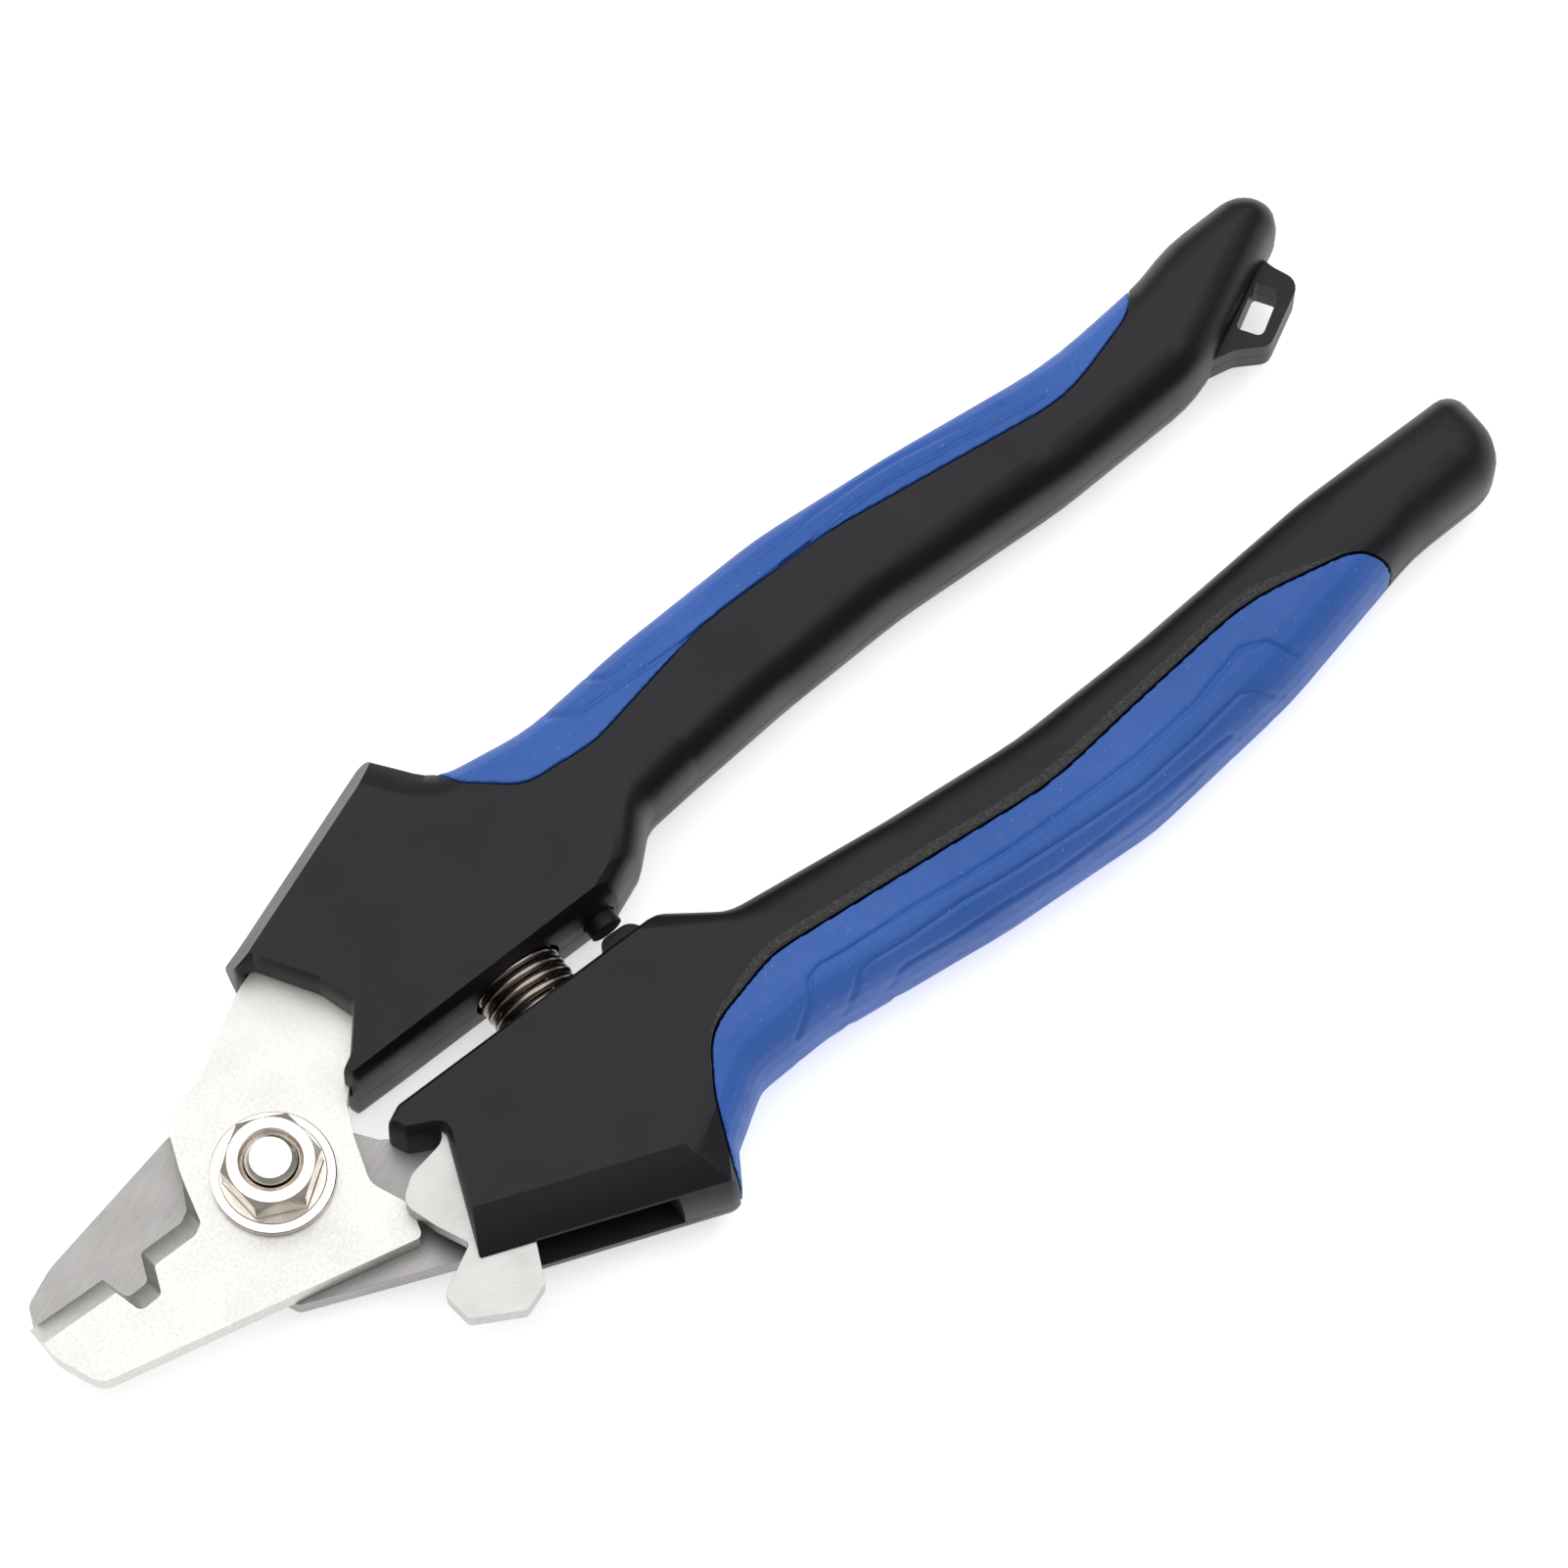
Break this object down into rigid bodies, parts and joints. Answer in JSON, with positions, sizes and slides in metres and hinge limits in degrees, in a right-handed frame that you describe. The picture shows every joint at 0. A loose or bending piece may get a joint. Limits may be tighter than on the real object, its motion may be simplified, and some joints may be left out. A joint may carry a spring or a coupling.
{
  "type": "tile nippers",
  "caption": "Spring-loaded hand nippers with flat steel blades crossing at a bolt and flange nut, a swinging safety-lock lever, and black handles with blue rubber grips.",
  "frame": {"origin": "on the blade pivot's axis, on the face of the bolt head, in the plane that the tool lies on", "axes": "+X from the jaws to the handles, +Y towards the upper handle, +Z along the pivot from the bolt head to the nut"},
  "size_m": [0.195, 0.0668, 0.0173],
  "materials": {
    "bright_blade_steel": "finely ground bright steel",
    "grey_blade_steel": "darker ground steel",
    "nickel_plate": "warm nickel plate, slightly worn",
    "dark_spring_steel": "dark drawn spring wire",
    "black_plastic": "satin moulded black",
    "blue_rubber": "matt soft blue"
  },
  "bodies": {
    "lower_half": {"back_blade": "grey_blade_steel", "lower_front_shell": "black_plastic", "lower_back_shell": "black_plastic", "lower_grip": "blue_rubber", "lower_tang_pin_1": "grey_blade_steel", "lower_tang_pin_2": "grey_blade_steel", "lock_pivot_pin": "grey_blade_steel", "lock_friction_washer": "grey_blade_steel", "pivot_bolt": "nickel_plate", "pivot_washer": "nickel_plate", "pivot_nut": "nickel_plate", "return_spring": "dark_spring_steel"},
    "upper_half": {"front_blade": "bright_blade_steel", "upper_front_shell": "black_plastic", "upper_back_shell": "black_plastic", "upper_grip": "blue_rubber", "upper_tang_pin_1": "grey_blade_steel", "upper_tang_pin_2": "grey_blade_steel", "stop_bumper": "black_plastic"},
    "lock": {"lock_lever": "bright_blade_steel"}
  },
  "joints": [
    {"name": "blade_pivot", "type": "hinge", "parent": "lower_half", "child": "upper_half", "pos_m": [0, 0, 0], "axis": [0, 0, 1], "range_deg": [0, 20], "deforming": ["return_spring"]},
    {"name": "lock_pivot", "type": "hinge", "parent": "lower_half", "child": "lock", "pos_m": [0.0226, -0.007, 0], "axis": [0, 0, 1], "range_deg": [0, 38]}
  ]
}
